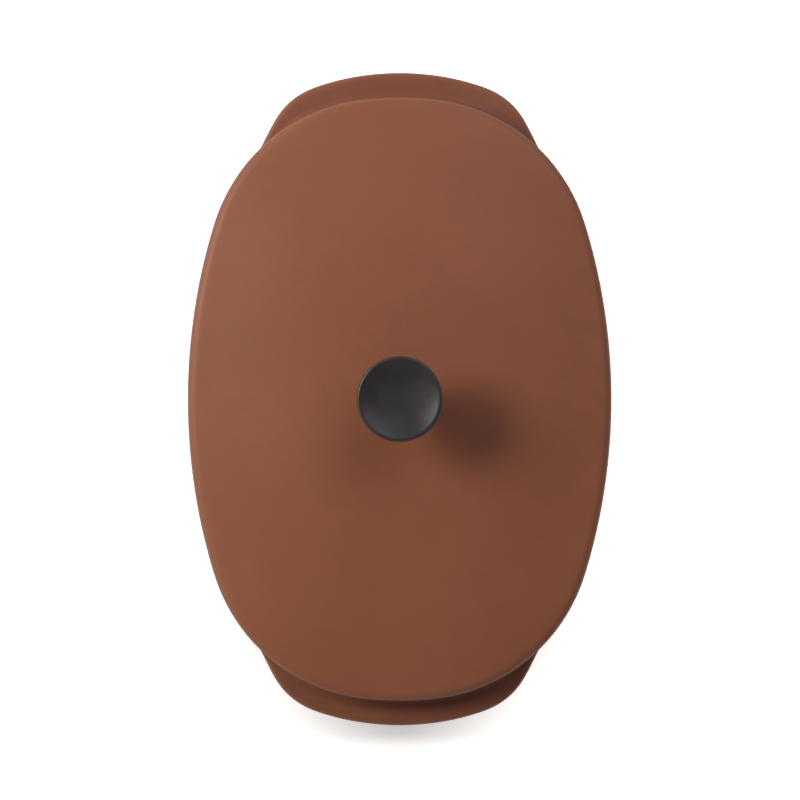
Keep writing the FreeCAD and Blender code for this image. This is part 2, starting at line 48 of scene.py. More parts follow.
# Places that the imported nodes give
LID_LOW, LID_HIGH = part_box("lid")
KNOB_LOW, KNOB_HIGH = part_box("knob")
INSERT_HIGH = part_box("knob_insert")[1]
RIM_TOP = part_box("dish")[1].z
FLANGE_UNDER = LID_LOW.z
CROWN = LID_HIGH.z

# Rim of the dish seen from above, an oval of eight tangent arcs
LID_REVEAL = 0.3 * MM
RIM_HALF_WIDTH = LID_HIGH.x + LID_REVEAL
RIM_HALF_LENGTH = LID_HIGH.y + LID_REVEAL
SHOULDER_SETBACK = 10.2 * MM
SHOULDER_SPREAD = 8.7 * MM
END_RADIUS = 180 * MM

# Dish
WALL = 8 * MM
WALL_TAPER = math.radians(9)
FLOOR_UNDER = 2.5 * MM
FLOOR_TOP = 10 * MM
OUTER_HEEL_RADIUS = 26 * MM
INNER_HEEL_RADIUS = 19 * MM
RIM_ROUND = 2.4 * MM
MOUTH_ROUND = 1.5 * MM
FOOT_SETBACK = 42 * MM
FOOT_BAND = 7 * MM
FOOT_ROUND = 0.8 * MM

# Lug handles
LUG_DROP = 12 * MM
LUG_REACH = 15 * MM
LUG_ROOT_HALF_WIDTH = 79.5 * MM
LUG_BREAK_ANGLE = math.radians(16.8)
LUG_TIP_RADIUS = 143 * MM
LUG_CORNER_RADIUS = 40 * MM
LUG_THICKNESS = 8 * MM
LUG_TOP_ROUND = 2.2 * MM
LUG_UNDERSIDE_ROUND = 3.5 * MM
LUG_ROOT_ROUND = 4 * MM
LUG_FADE = 8 * MM
LUG_SWELL = 0.6 * MM
LUG_DISHING = 1 * MM
LUG_TOP = RIM_TOP - LUG_DROP
LUG_UNDER = LUG_TOP - LUG_THICKNESS

# The lug's flank leaves the wall in a soft bend. Its start before the flank and its end
# behind it are counted in softening lengths.
FLANK_SOFTENING = 0.6 * MM
FLANK_BEND_START = 4
FLANK_BEND_END = 20

# Lid
LID_EDGE_LEVEL = RIM_TOP + 7 * MM
LID_EDGE_ROUND = 5 * MM
LID_FOOT_ROUND = 1 * MM
LID_FOOT_LEVEL = RIM_TOP + LID_FOOT_ROUND
LID_THICKNESS = 6.5 * MM
ROOF_EDGE_DROP = 3.7 * MM
ROOF_ROUND = 5 * MM
SEAT_HALF_WIDTH = 20 * MM
FLANGE_SETBACK = 9 * MM
FLANGE_THICKNESS = 5.5 * MM
FLANGE_ROUND = 1.5 * MM
FLANGE_ROOT_ROUND = 0.6 * MM
SCREW_HOLE_RADIUS = 4 * MM
SCREW_HOLE_EDGE = 0.4 * MM

# Knob and its fixing
KNOB_RIM_HEIGHT = 5 * MM
KNOB_RIM_ROUND = 1.4 * MM
KNOB_EDGE_ROUND = 2.4 * MM
KNOB_HOLLOW = 4 * MM
KNOB_NECK_RADIUS = 8.5 * MM
KNOB_NECK_HEIGHT = 11 * MM
KNOB_FOOT_RADIUS = 13 * MM
KNOB_FOOT_BAND = 1.6 * MM
KNOB_FOOT_ROUND = 0.4 * MM
WASHER_BORE_RADIUS = 3.2 * MM
WASHER_EDGE = 0.2 * MM
GASKET_EDGE = 0.3 * MM

# How finely the glazed pieces are divided before they are smoothed: columns in a quarter of
# the oval, and steps across the rim's outer rounding
SIDE_STEPS = 7
SHOULDER_STEPS = 4
LUG_COLUMNS = 12
END_STEPS = 2
RIM_SEGMENTS = 3
SMOOTH_LEVELS = 2

# Rings that hold the dish's shape while it is smoothed. Those on its base and its floor are
# each a share of the ring before.
WALL_RING_LEVEL = 42 * MM
BASE_BAND = 8 * MM
BASE_SHARES = (0.7, 0.6, 0.4)
INNER_RING_LEVEL = 46 * MM
FLOOR_RING_DEPTH = 48 * MM
FLOOR_SHARES = (0.8, 0.7, 0.5, 0.4)

# Rings of the lid's dome and of its roof: depths inside the edge and, further in, shares of
# the innermost of these rings. The circle lies on the knob's seat.
DOME_DEPTHS = (6 * MM, 9 * MM, 16 * MM)
DOME_SHARES = (0.87, 0.74, 0.61, 0.48, 0.36, 0.27)
ROOF_DEPTH = 12 * MM
ROOF_SHARES = (0.82, 0.64, 0.47, 0.32)
SEAT_CIRCLE = 0.7 * SEAT_HALF_WIDTH

# How finely the turned pieces are divided
TURNED_STEPS = 96
HOLLOW_STEPS = 20
LIP_STEPS = 10
EDGE_STEPS = 8
UNDERSIDE_STEPS = 16
NECK_STEPS = 12

# Edges of the turned pieces that turn by more than this stay sharp
SHARP_ANGLE = math.radians(50)

# Steps in a corner rounded by 1 mm, which grow with the root of the radius, and the fewest
CORNER_STEPS = 1.3
CORNER_STEPS_LEAST = 2

# How near two points, or a point and a level, count as one
SEAM_GAP = 0.001 * MM
OUTLINE_GAP = 0.01 * MM
LEVEL_GAP = 0.02 * MM

# A cap is a face with more corners than this
SMALL_FACE = 8

# Upward parts of the normals of a face that counts as flat and of one that counts as steep
FLAT_RISE = 0.9
STEEP_RISE = 0.5


class Oval:
    """Half sizes and arc radii of the eight-arc oval, and the places of its arcs' centres."""

    def __init__(self, inset=0.0):
        self.half_width = RIM_HALF_WIDTH - inset
        self.half_length = RIM_HALF_LENGTH - inset
        self.shoulder = RIM_HALF_WIDTH - SHOULDER_SETBACK - SHOULDER_SPREAD - inset
        self.end = END_RADIUS - inset
        self.end_y = self.half_length - self.end
        drop = self.end - self.shoulder
        self.shoulder_y = self.end_y + math.sqrt(drop**2 - SHOULDER_SPREAD**2)
        reach = self.half_width - SHOULDER_SPREAD
        self.side = (reach**2 + self.shoulder_y**2 - self.shoulder**2) / (2 * (reach - self.shoulder))
        self.side_x = self.half_width - self.side
        # Directions, turned from +X, in which the arcs meet
        self.side_turn = math.atan2(self.shoulder_y, SHOULDER_SPREAD - self.side_x)
        self.end_turn = math.atan2(self.shoulder_y - self.end_y, SHOULDER_SPREAD)


rim = Oval()
lid_outline = Oval(LID_REVEAL)


class Lug:
    """Outline of the +Y lug handle's right half: a leaning flank, a corner arc and the tip arc."""

    def __init__(self):
        self.shoulder = Vector((SHOULDER_SPREAD, rim.shoulder_y))
        break_turn = math.acos((LUG_ROOT_HALF_WIDTH - SHOULDER_SPREAD) / rim.shoulder)
        lean = break_turn - LUG_BREAK_ANGLE
        self.outward = Vector((math.cos(lean), math.sin(lean)))
        self.along = Vector((-math.sin(lean), math.cos(lean)))
        self.flank_reach = rim.shoulder * math.cos(LUG_BREAK_ANGLE)
        # How deep the leaning wall lies inside the rim's outline beside the lug
        self.wall_depth = (LUG_DROP + LUG_THICKNESS / 2) * math.tan(WALL_TAPER)
        # Direction from the shoulder arc's centre in which the flank meets that wall
        self.root_turn = lean + math.acos(self.flank_reach / (rim.shoulder - self.wall_depth))
        self.tip = Vector((0, rim.half_length + LUG_REACH - LUG_TIP_RADIUS))
        inner = self.shoulder + self.outward * (self.flank_reach - LUG_CORNER_RADIUS)
        apart = inner - self.tip
        cross = self.along.dot(apart)
        gap = LUG_TIP_RADIUS - LUG_CORNER_RADIUS
        self.corner = inner + self.along * (math.sqrt(cross**2 - apart.length_squared + gap**2) - cross)
        self.tip_direction = (self.corner - self.tip).normalized()

    def distance(self, start, ray):
        """How far the outline lies from a point inside it, along a direction."""
        flank = (self.outward.dot(self.shoulder - start) + self.flank_reach) / self.outward.dot(ray)
        if self.along.dot(start + ray * flank - self.corner) < 0:
            return flank
        bend = to_circle(start, ray, self.corner, LUG_CORNER_RADIUS)
        if self.tip_direction.cross(start + ray * bend - self.corner) < 0:
            return bend
        return to_circle(start, ray, self.tip, LUG_TIP_RADIUS)

    def reach(self, start, ray):
        """How far the wall at a point is drawn out along a direction, with a soft start."""
        steps = self.distance(start, ray) / FLANK_SOFTENING
        if steps < -FLANK_BEND_START or self.along.dot(ray) < 0:
            return 0
        if steps > FLANK_BEND_END:
            return FLANK_SOFTENING * steps
        return FLANK_SOFTENING * math.log1p(math.exp(steps))


def to_circle(start, ray, centre, radius):
    """How far a circle round the start lies from it, along a direction."""
    apart = start - centre
    across = ray.dot(apart)
    return math.sqrt(across**2 - apart.length_squared + radius**2) - across


lug = Lug()


# Modelling steps, each done in edit mode on the active object


def start_piece(name):
    """A new mesh object at the origin, in edit mode, that holds one vertex there."""
    bpy.ops.object.select_all(action="DESELECT")
    bpy.ops.mesh.primitive_plane_add(size=MM)
    piece = bpy.context.object
    piece.name = name
    piece.data.name = name
    bpy.ops.object.mode_set(mode="EDIT")
    bpy.ops.mesh.select_mode(type="VERT")
    bpy.ops.mesh.select_all(action="SELECT")
    bpy.ops.mesh.merge(type="CENTER")
    return piece


def close_piece():
    """Merges seams and points every face outwards."""
    bpy.ops.mesh.select_mode(type="VERT")
    bpy.ops.mesh.select_all(action="SELECT")
    bpy.ops.mesh.remove_doubles(threshold=SEAM_GAP)
    bpy.ops.mesh.normals_make_consistent(inside=False)


def end_piece(smooth_angle=None):
    """Leaves edit mode and shades the piece smooth, apart from edges sharper than the angle."""
    close_piece()
    bpy.ops.mesh.select_all(action="DESELECT")
    bpy.ops.object.mode_set(mode="OBJECT")
    if smooth_angle is None:
        bpy.ops.object.shade_smooth()
    else:
        bpy.ops.object.shade_smooth_by_angle(angle=smooth_angle)


def smooth_surface(piece):
    """Subdivides the finished piece and keeps the result as its mesh."""
    modifier = piece.modifiers.new("smoothing", "SUBSURF")
    modifier.levels = SMOOTH_LEVELS
    modifier.render_levels = SMOOTH_LEVELS
    bpy.ops.object.modifier_apply(modifier=modifier.name)


def edited_mesh():
    return bmesh.from_edit_mesh(bpy.context.object.data)


def select_where(kind, test):
    """Selects only the edges or faces that pass the test."""
    bpy.ops.mesh.select_mode(type={"edges": "EDGE", "faces": "FACE"}[kind])
    bpy.ops.mesh.select_all(action="DESELECT")
    mesh = edited_mesh()
    mesh.normal_update()
    for element in getattr(mesh, kind):
        if test(element):
            element.select_set(True)
    mesh.select_flush_mode()
    bmesh.update_edit_mesh(bpy.context.object.data)


def selected_face():
    return next(face for face in edited_mesh().faces if face.select)


def move(x, y, z):
    bpy.ops.transform.translate(value=(x, y, z))


def pull_out(x, y, z):
    bpy.ops.mesh.extrude_region_move(TRANSFORM_OT_translate={"value": (x, y, z)})


def scale_about_axis(factor):
    bpy.ops.transform.resize(value=(factor, factor, 1), center_override=(0, 0, 0))


def sweep(centre_x, centre_y, turn, steps):
    """Spins the selection anticlockwise about an upright axis."""
    bpy.ops.mesh.spin(steps=steps, angle=-turn, center=(centre_x, centre_y, 0), axis=(0, 0, 1))


def near(level, other):
    return abs(level - other) < LEVEL_GAP


def draw_outline(oval, level):
    """A filled face with the oval's outline, swept a quarter at a time and mirrored."""
    move(oval.half_width, 0, level)
    sweep(oval.side_x, 0, oval.side_turn, SIDE_STEPS)
    sweep(SHOULDER_SPREAD, oval.shoulder_y, lug.root_turn - oval.side_turn, SHOULDER_STEPS)
    sweep(SHOULDER_SPREAD, oval.shoulder_y, oval.end_turn - lug.root_turn, LUG_COLUMNS)
    sweep(0, oval.end_y, math.pi / 2 - oval.end_turn, END_STEPS)
    for mirror in ((-1, 1, 1), (1, -1, 1)):
        bpy.ops.mesh.select_all(action="SELECT")
        bpy.ops.mesh.duplicate()
        bpy.ops.transform.resize(value=mirror, center_override=(0, 0, level))
    bpy.ops.mesh.select_all(action="SELECT")
    bpy.ops.mesh.remove_doubles(threshold=OUTLINE_GAP)
    bpy.ops.mesh.edge_face_add()


def face_the_cap(direction):
    """Turns the selected cap to face up (1) or down (-1)."""
    edited_mesh().normal_update()
    if selected_face().normal.z * direction < 0:
        bpy.ops.mesh.flip_normals()


def fill_opening():
    """Closes the one open outline with a cap and leaves it selected."""
    select_where("edges", lambda edge: edge.is_boundary)
    bpy.ops.mesh.edge_face_add()
    bpy.ops.mesh.select_mode(type="FACE")


def is_cap(face):
    return len(face.verts) > SMALL_FACE


def pick_cap(level):
    """Selects the many-sided face at a level."""
    select_where("faces", lambda face: is_cap(face) and near(face.verts[0].co.z, level))


def follow(points, direction):
    """Draws the selected cap along a profile of (depth inside the outline, level) points."""
    for (depth, level), (next_depth, next_level) in zip(points, points[1:]):
        inwards = next_depth - depth
        rise = next_level - level
        if inwards < OUTLINE_GAP:
            pull_out(0, 0, rise)
        else:
            bpy.ops.mesh.inset(thickness=inwards, depth=rise * direction, use_even_offset=True)


def shrink_cap(factors, levels):
    """Repeats the selected cap at each level, each time drawn in towards the Z axis."""
    level = selected_face().verts[0].co.z
    for factor, next_level in zip(factors, levels):
        pull_out(0, 0, next_level - level)
        scale_about_axis(factor)
        level = next_level


def round_cap(radius):
    """Repeats the selected cap as a circle."""
    pull_out(0, 0, 0)
    bpy.ops.transform.tosphere(value=1)
    scale_about_axis(radius / selected_face().verts[0].co.xy.length)


def rounded(corners):
    """Profile points through (across, level, radius) corners, each corner turned into an arc."""
    points = [Vector(corners[0][:2])]
    for before, corner, after in zip(corners, corners[1:], corners[2:]):
        place = Vector(corner[:2])
        radius = corner[2]
        if radius == 0:
            points.append(place)
            continue
        arriving = (place - Vector(before[:2])).normalized()
        leaving = (Vector(after[:2]) - place).normalized()
        turn = math.atan2(arriving.x * leaving.y - arriving.y * leaving.x, arriving.dot(leaving))
        first = place - arriving * radius * math.tan(abs(turn) / 2)
        side = Vector((-arriving.y, arriving.x)) * math.copysign(1, turn)
        steps = max(CORNER_STEPS_LEAST, round(CORNER_STEPS * math.sqrt(radius / MM)))
        points += arc_points(first, first + side * radius, turn, steps)
    points.append(Vector(corners[-1][:2]))
    return [tuple(point) for point in points]


def arc_points(first, centre, turn, steps):
    """Points from the first one anticlockwise round the centre."""
    spoke = first - centre
    return [centre + Matrix.Rotation(turn * step / steps, 2) @ spoke for step in range(steps + 1)]


# Dish


def lug_section():
    """Rings of the wall that a lug grows from, from the top down.

    Each gives its level on the bare wall, how much of the lug's reach it takes as a share,
    and its level on the lug.
    """
    reach = LUG_REACH + lug.wall_depth
    edge = 1 + LUG_SWELL / reach
    section = [
        (0, LUG_TOP + LUG_ROOT_ROUND),
        (LUG_ROOT_ROUND / reach, LUG_TOP - LUG_DISHING),
        (edge - LUG_TOP_ROUND / reach, LUG_TOP),
        (edge, LUG_TOP - LUG_TOP_ROUND),
        (edge, LUG_UNDER + LUG_UNDERSIDE_ROUND),
        (edge - LUG_UNDERSIDE_ROUND / reach, LUG_UNDER),
        (LUG_ROOT_ROUND / reach, LUG_UNDER),
        (0, LUG_UNDER - LUG_ROOT_ROUND),
    ]
    first = section[0][1]
    step = (section[-1][1] - first) / (len(section) - 1)
    return [(first + step * index, *point) for index, point in enumerate(section)]


def push_out_lugs():
    """Draws the wall's rings at both ends out into the lug handles, which fade into the wall."""
    rings = lug_section()
    end = Vector((0, rim.end_y))
    for vertex in edited_mesh().verts:
        ring = next((ring for ring in rings if near(vertex.co.z, ring[0])), None)
        place = Vector((abs(vertex.co.x), abs(vertex.co.y)))
        if ring is None or place.y < rim.shoulder_y:
            continue
        level, share, lug_level = ring
        from_end = (place - end).normalized()
        on_end = math.atan2(from_end.y, from_end.x) > rim.end_turn
        ray = from_end if on_end else (place - lug.shoulder).normalized()
        reach = lug.reach(place, ray)
        shift = ray * reach * share
        vertex.co.x += math.copysign(shift.x, vertex.co.x)
        vertex.co.y += math.copysign(shift.y, vertex.co.y)
        vertex.co.z += (lug_level - level) * min(1, reach / LUG_FADE)
    bmesh.update_edit_mesh(bpy.context.object.data)


def wall_depth(level):
    """How deep the outside of the leaning wall lies inside the rim's outline at a level."""
    return (RIM_TOP - level) * math.tan(WALL_TAPER)


def draw_dish_outside():
    """Leaning wall with the rings for the lugs, heel, foot ring and base."""
    foot_inner = FOOT_SETBACK + FOOT_BAND
    levels = [RIM_TOP] + [ring[0] for ring in lug_section()] + [WALL_RING_LEVEL]
    corners = [(wall_depth(level), level, 0) for level in levels]
    corners += [
        (wall_depth(FLOOR_UNDER), FLOOR_UNDER, OUTER_HEEL_RADIUS),
        (FOOT_SETBACK, FLOOR_UNDER, FOOT_ROUND),
        (FOOT_SETBACK, 0, FOOT_ROUND),
        (foot_inner, 0, FOOT_ROUND),
        (foot_inner, FLOOR_UNDER, FOOT_ROUND),
        (foot_inner + BASE_BAND, FLOOR_UNDER, 0),
    ]
    follow(rounded(corners), -1)
    shrink_cap(BASE_SHARES, [FLOOR_UNDER] * len(BASE_SHARES))


def draw_dish_inside():
    """Top of the rim, inside of the wall, inner heel and floor."""
    fill_opening()
    face_the_cap(1)
    corners = [
        (0, RIM_TOP, 0),
        (WALL, RIM_TOP, MOUTH_ROUND),
        (WALL + wall_depth(INNER_RING_LEVEL), INNER_RING_LEVEL, 0),
        (WALL + wall_depth(FLOOR_TOP), FLOOR_TOP, INNER_HEEL_RADIUS),
        (FLOOR_RING_DEPTH, FLOOR_TOP, 0),
    ]
    follow(rounded(corners), 1)
    shrink_cap(FLOOR_SHARES, [FLOOR_TOP] * len(FLOOR_SHARES))


def outer_top_edge(edge):
    """Whether an edge runs round the top of the rim, on its outside."""
    if not all(near(vertex.co.z, RIM_TOP) for vertex in edge.verts):
        return False
    flat, steep = sorted(edge.link_faces, key=lambda face: -face.normal.z)
    middle = (edge.verts[0].co + edge.verts[1].co) / 2
    outside = steep.normal.xy.dot(middle.xy) > 0
    return flat.normal.z > FLAT_RISE and steep.normal.z < STEEP_RISE and outside


def make_dish():
    """Walls, floor, foot ring and both lug handles in one piece."""
    piece = start_piece("stoneware_dish")
    draw_outline(rim, RIM_TOP)
    face_the_cap(-1)
    draw_dish_outside()
    draw_dish_inside()
    close_piece()
    push_out_lugs()
    select_where("edges", outer_top_edge)
    bpy.ops.mesh.bevel(offset=RIM_ROUND, segments=RIM_SEGMENTS, affect="EDGES")
    end_piece()
    smooth_surface(piece)
    return piece


# Lid


class Dome:
    """A dome in the lid, whose rings are its edge drawn in towards the Z axis."""

    def __init__(self, setback, edge_level, seat_level):
        self.setback = setback
        self.half_size = (lid_outline.half_width + lid_outline.half_length) / 2 - setback
        self.seat_share = SEAT_HALF_WIDTH / (lid_outline.half_width - setback)
        self.edge_level = edge_level
        self.rise = seat_level - edge_level

    def level(self, share):
        """Level of the ring whose size is this share of the dome's edge."""
        return self.edge_level + self.rise * (1 - share**2) / (1 - self.seat_share**2)

    def corner(self, depth):
        """A sharp corner of the profile, this far inside the dome's edge."""
        return (self.setback + depth, self.level(1 - depth / self.half_size), 0)

    def draw_rings(self, depth, steps):
        """Repeats the selected cap, this far inside the edge, up to the seat and the hole."""
        outermost = 1 - depth / self.half_size
        shares = [outermost * step for step in steps] + [self.seat_share]
        factors = [share / before for before, share in zip([outermost] + shares, shares)]
        shrink_cap(factors, [self.level(share) for share in shares])
        round_cap(SEAT_CIRCLE)
        round_cap(SCREW_HOLE_RADIUS + SCREW_HOLE_EDGE)


def draw_lid_top():
    """Upright edge, soft rounding, then rings that climb to the flat seat of the knob."""
    dome = Dome(0, LID_EDGE_LEVEL, CROWN)
    corners = [(0, LID_FOOT_LEVEL, 0), (0, LID_EDGE_LEVEL, LID_EDGE_ROUND)]
    corners += [dome.corner(depth) for depth in DOME_DEPTHS]
    follow(rounded(corners), 1)
    dome.draw_rings(DOME_DEPTHS[-1], DOME_SHARES)


def draw_lid_underside():
    """Foot that sits on the rim, flange, upright hollow and a roof that follows the dome."""
    pick_cap(LID_FOOT_LEVEL)
    hollow = FLANGE_SETBACK + FLANGE_THICKNESS
    roof = Dome(hollow, LID_EDGE_LEVEL - ROOF_EDGE_DROP, CROWN - LID_THICKNESS)
    corners = [
        (0, LID_FOOT_LEVEL, 0),
        (0, RIM_TOP, LID_FOOT_ROUND),
        (FLANGE_SETBACK, RIM_TOP, FLANGE_ROOT_ROUND),
        (FLANGE_SETBACK, FLANGE_UNDER, FLANGE_ROUND),
        (hollow, FLANGE_UNDER, FLANGE_ROUND),
        (hollow, roof.edge_level, ROOF_ROUND),
        roof.corner(ROOF_DEPTH),
    ]
    follow(rounded(corners), -1)
    roof.draw_rings(ROOF_DEPTH, ROOF_SHARES)


def is_middle_cap(face):
    return is_cap(face) and face.verts[0].co.xy.length < 2 * SCREW_HOLE_RADIUS


def open_screw_hole():
    """Joins the caps in the middle of the dome and of the roof by the wall of the hole."""
    for direction in (1, -1):
        select_where("faces", lambda face: is_middle_cap(face) and face.normal.z * direction > 0)
        follow([(0, 0), (SCREW_HOLE_EDGE, -SCREW_HOLE_EDGE * direction)], direction)
    select_where("faces", is_middle_cap)
    bpy.ops.mesh.bridge_edge_loops()


def make_lid():
    """Low dome with a soft edge, a flange that drops into the dish and a hole for the screw."""
    piece = start_piece("domed_lid")
    draw_outline(lid_outline, LID_FOOT_LEVEL)
    face_the_cap(1)
    draw_lid_top()
    draw_lid_underside()
    open_screw_hole()
    end_piece()
    smooth_surface(piece)
    return piece


# Knob and its fixing


def make_turned(name, profile):
    """Draws a profile of (radius, level) points and spins it round the Z axis."""
    piece = start_piece(name)
    move(profile[0][0], 0, profile[0][1])
    for before, point in zip(profile, profile[1:]):
        pull_out(point[0] - before[0], 0, point[1] - before[1])
    bpy.ops.mesh.select_all(action="SELECT")
    sweep(0, 0, 2 * math.pi, TURNED_STEPS)
    end_piece(SHARP_ANGLE)
    return piece


def knob_top():
    """Profile of the hollow and of the lip, which leans inwards and runs on into the hollow."""
    lip = Vector((KNOB_HIGH.x - KNOB_RIM_ROUND, KNOB_HIGH.z - KNOB_RIM_ROUND))
    lean = 2 * math.atan(KNOB_HOLLOW / lip.x)
    hollow_radius = lip.x / math.sin(lean) - KNOB_RIM_ROUND
    bottom = Vector((0, KNOB_HIGH.z - KNOB_HOLLOW))
    hollow = arc_points(bottom, bottom + Vector((0, hollow_radius)), lean, HOLLOW_STEPS)
    lip_start = lip + Matrix.Rotation(lean, 2) @ Vector((0, KNOB_RIM_ROUND))
    return hollow[:-1] + arc_points(lip_start, lip, -math.pi / 2 - lean, LIP_STEPS)


def from_neck(neck, end, steps):
    """Profile from the neck, where its arc stands upright, to a point further out."""
    apart = end - neck
    radius = apart.length_squared / (2 * apart.x)
    turn = math.atan2(apart.y, radius - apart.x)
    return arc_points(neck, neck + Vector((radius, 0)), -turn, steps)


def make_knob():
    """Trumpet-shaped knob with a hollowed top and a blind bore for its threaded insert."""
    base = KNOB_LOW.z
    bore = INSERT_HIGH.x
    edge = Vector((KNOB_HIGH.x - KNOB_EDGE_ROUND, KNOB_HIGH.z - KNOB_RIM_HEIGHT + KNOB_EDGE_ROUND))
    under_head = edge - Vector((0, KNOB_EDGE_ROUND))
    neck = Vector((KNOB_NECK_RADIUS, base + KNOB_NECK_HEIGHT))
    foot = Vector((KNOB_FOOT_RADIUS, base + KNOB_FOOT_BAND))
    underside = [
        (*foot, 0),
        (KNOB_FOOT_RADIUS, base, KNOB_FOOT_ROUND),
        (bore, base, 0),
        (bore, INSERT_HIGH.z, 0),
        (0, INSERT_HIGH.z, 0),
    ]
    profile = knob_top()
    profile += arc_points(edge + Vector((KNOB_EDGE_ROUND, 0)), edge, -math.pi / 2, EDGE_STEPS)
    profile += reversed(from_neck(neck, under_head, UNDERSIDE_STEPS))
    profile += from_neck(neck, foot, NECK_STEPS)[1:]
    profile += rounded(underside)[1:]
    return make_turned("knob_body", profile)


def make_ring(name, node, bore, edge):
    """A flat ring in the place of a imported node, with softened edges."""
    low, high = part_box(node)
    width = high.x
    start = ((bore + width) / 2, low.z, 0)
    corners = [
        start,
        (width, low.z, edge),
        (width, high.z, edge),
        (bore, high.z, edge),
        (bore, low.z, edge),
        start,
    ]
    return make_turned(name, rounded(corners))


# Steps that build a material

# Places of a Mix node's colours among its inputs, and of the mixed colour among its outputs
MIX_FIRST = 6
MIX_SECOND = 7
MIX_RESULT = 2


def srgb(red, green, blue):
    """A colour as a screen names it, 0 to 255, in the linear light that shaders take."""

    def linear(value):
        share = value / 255
        return share / 12.92 if share <= 0.04045 else ((share + 0.055) / 1.055) ** 2.4

    return (linear(red), linear(green), linear(blue), 1)


def start_material(name):
    material = bpy.data.materials.new(name)
    material.use_nodes = True
    material.node_tree.nodes.clear()
    return material


def add_node(tree, kind, inputs=None, **settings):
    """Adds a node, sets its options, and links or sets each of its named inputs."""
    made = tree.nodes.new("ShaderNode" + kind)
    for name, value in settings.items():
        setattr(made, name, value)
    for name, value in (inputs or {}).items():
        if isinstance(value, bpy.types.NodeSocket):
            tree.links.new(value, made.inputs[name])
        else:
            made.inputs[name].default_value = value
    return made


def object_place(tree):
    return add_node(tree, "TexCoord").outputs["Object"]


def calculate(tree, operation, first, second):
    """The result of a sum, product or the like of two values."""
    return add_node(tree, "Math", {0: first, 1: second}, operation=operation).outputs[0]


def noise(tree, size, detail):
    """Soft noise whose features are about this size."""
    inputs = {"Vector": object_place(tree), "Scale": 1 / size, "Detail": detail}
    return add_node(tree, "TexNoise", inputs).outputs["Fac"]


def remap(tree, value, low, high, new_low=0, new_high=1):
    """A value moved from one span to another along a smooth step."""
    inputs = {"Value": value, "From Min": low, "From Max": high, "To Min": new_low, "To Max": new_high}
    return add_node(tree, "MapRange", inputs, interpolation_type="SMOOTHSTEP").outputs["Result"]


def patches(tree, size, detail, low, high):
    """Soft patches of about this size: 0 where the noise is below low, and 1 above high."""
    return remap(tree, noise(tree, size, detail), low, high)


def fade(tree, share, first, second):
    """A value that goes from the first to the second as a share goes from 0 to 1."""
    return remap(tree, share, 0, 1, first, second)


def blend_colours(tree, share, first, second):
    """A mix of two colours, by a share from 0 to 1."""
    inputs = {"Factor": share, MIX_FIRST: first, MIX_SECOND: second}
    return add_node(tree, "Mix", inputs, data_type="RGBA").outputs[MIX_RESULT]


def bump(tree, height, distance, **inputs):
    """Normal of a surface that stands this much higher where the pattern is 1."""
    inputs = {"Height": height, "Distance": distance, **inputs}
    return add_node(tree, "Bump", inputs).outputs["Normal"]


def finish_material(material, shader):
    output = add_node(material.node_tree, "OutputMaterial", {"Surface": shader})
    output.is_active_output = True
    return material


def finish_surface(material, inputs):
    """Finishes a material with one shader for coloured, glossy and metal surfaces."""
    return finish_material(material, add_node(material.node_tree, "BsdfPrincipled", inputs).outputs["BSDF"])


# Glaze

LID_GLAZE_LIGHT = srgb(132, 80, 58)
LID_GLAZE_DEEP = srgb(127, 76, 55)
# The dish has the lid's glaze, but its colours are painted darker: painted shade that stands for the shade
# the lid casts on the lugs
DISH_GLAZE_SHADED_LIGHT = srgb(123, 74, 56)
DISH_GLAZE_SHADED_DEEP = srgb(116, 69, 52)
GLAZE_WARM = srgb(140, 84, 56)
# Paler, greyer colour over convex edges: partly glaze that thins there, partly a painted highlight on the
# rounded edges
GLAZE_THIN_AND_HIGHLIGHT = srgb(152, 104, 84)
GLAZE_POOLED = srgb(104, 58, 42)
GLAZE_SPECK = srgb(94, 56, 41)
CLAY_DARK = srgb(176, 140, 112)
CLAY_PALE = srgb(202, 172, 143)

# Greatest share that each tint takes of the glaze's colour
WARM_SHARE = 0.16
THIN_AND_HIGHLIGHT_SHARE = 0.25
POOLED_SHARE = 0.3
SPECK_SHARE = 0.3

# Sizes of the patterns in the glaze and the clay, and depths of those that stand out
CLOUD_SIZE = 70 * MM
MOTTLE_SIZE = 7 * MM
SPECK_SIZE = 0.9 * MM
PEEL_SIZE = 4 * MM
PEEL_DEPTH = 0.012 * MM
SATIN_SIZE = 0.6 * MM
SATIN_DEPTH = 0.003 * MM
CLAY_GRAIN_SIZE = 0.7 * MM
CLAY_GRAIN_DEPTH = 0.06 * MM

# Sheen of the glaze, which varies a little with the mottle, and of the bare clay
GLAZE_ROUGHNESS = (0.51, 0.56)
GLAZE_SPECULAR = 0.2
GLAZE_COAT = 0.12
GLAZE_COAT_ROUGHNESS = 0.42
CLAY_ROUGHNESS = 0.85

# Bends, as one over the radius in metres, over which the glaze thins (with a painted highlight on rounded
# edges) and pools
BEND = "surface_bend"
BEND_SOFTENING = 4
THIN_AND_HIGHLIGHT_BENDS = (50, 220)
POOLED_BENDS = (-8, -40)

# How high the glaze is wiped off the foot ring and off the underside of the lid's flange,
# and how the wiped line wavers and fades
BARE_FOOT_LEVEL = 0.9 * MM
BARE_FLANGE_LEVEL = FLANGE_UNDER + 0.9 * MM
WIPE_WAVE_SIZE = 9 * MM
WIPE_WAVER = 0.25 * MM
WIPE_FADE = 0.1 * MM


